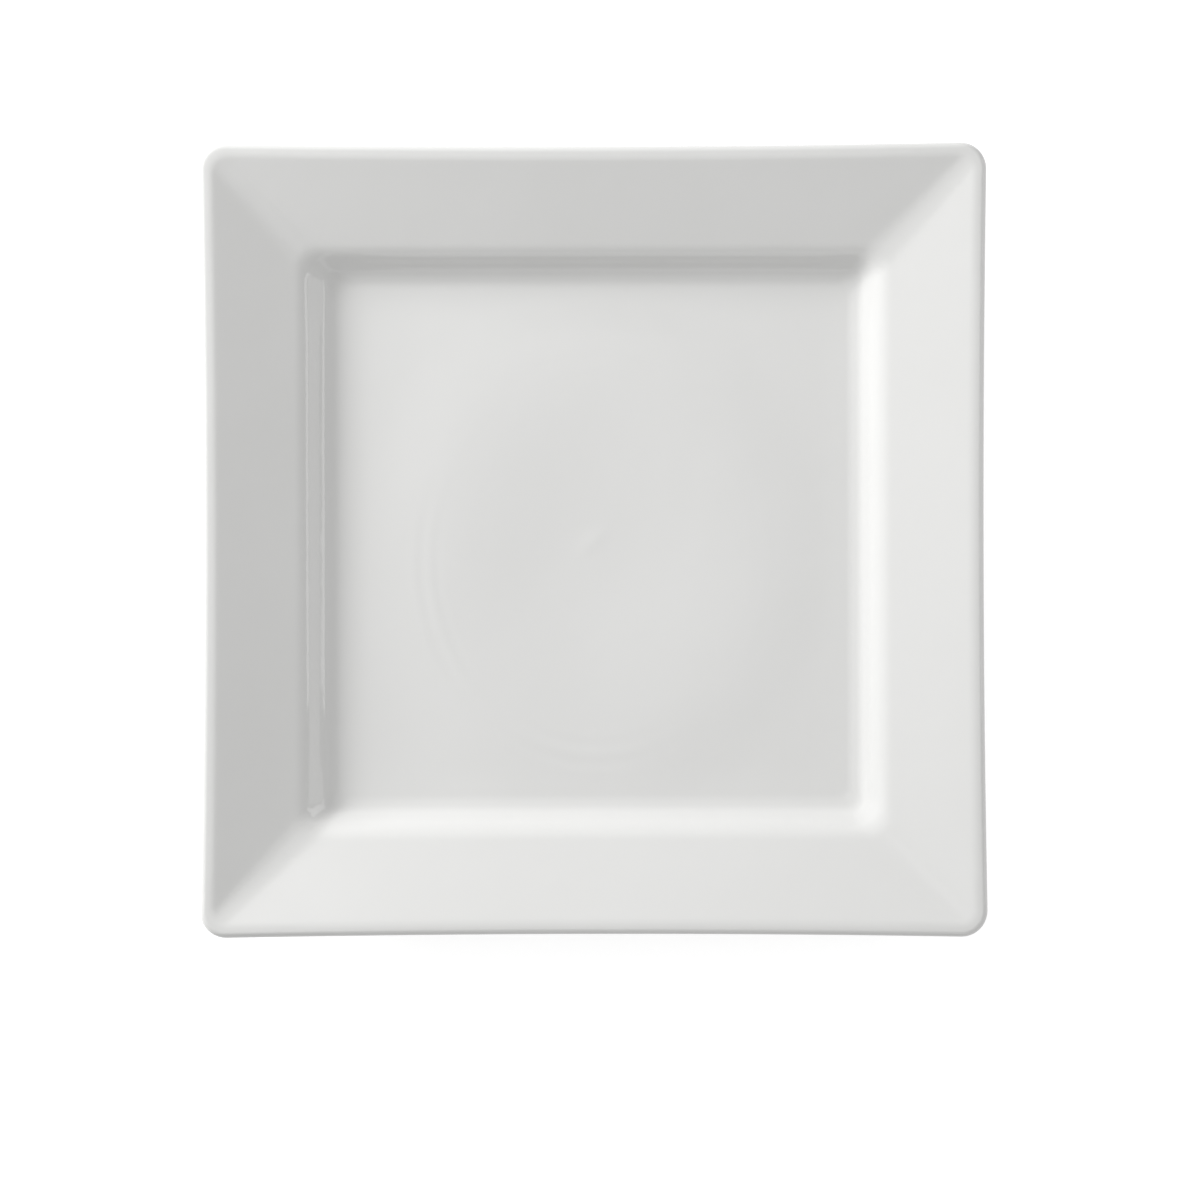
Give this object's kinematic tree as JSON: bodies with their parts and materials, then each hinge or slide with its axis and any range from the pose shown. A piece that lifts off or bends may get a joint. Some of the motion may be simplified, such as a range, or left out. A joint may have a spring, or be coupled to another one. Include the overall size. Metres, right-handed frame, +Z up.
{
  "type": "square serving platter",
  "caption": "Square white porcelain serving platter with a wide sloping mitred rim, a rolled lip, a flat square well and a bare foot ring underneath.",
  "frame": {"origin": "centre of the plane that the foot ring stands on", "axes": "+Z up out of the well; +X and +Y square to the sides"},
  "size_m": [0.305, 0.305, 0.0272],
  "materials": {
    "biscuit": "matt unglazed fired porcelain, showing only on the foot ring",
    "glaze": "glossy clear-white porcelain glaze"
  },
  "bodies": {
    "root": {"porcelain_body": "biscuit", "face_glaze": "glaze", "recess_glaze": "glaze"}
  },
  "joints": []
}
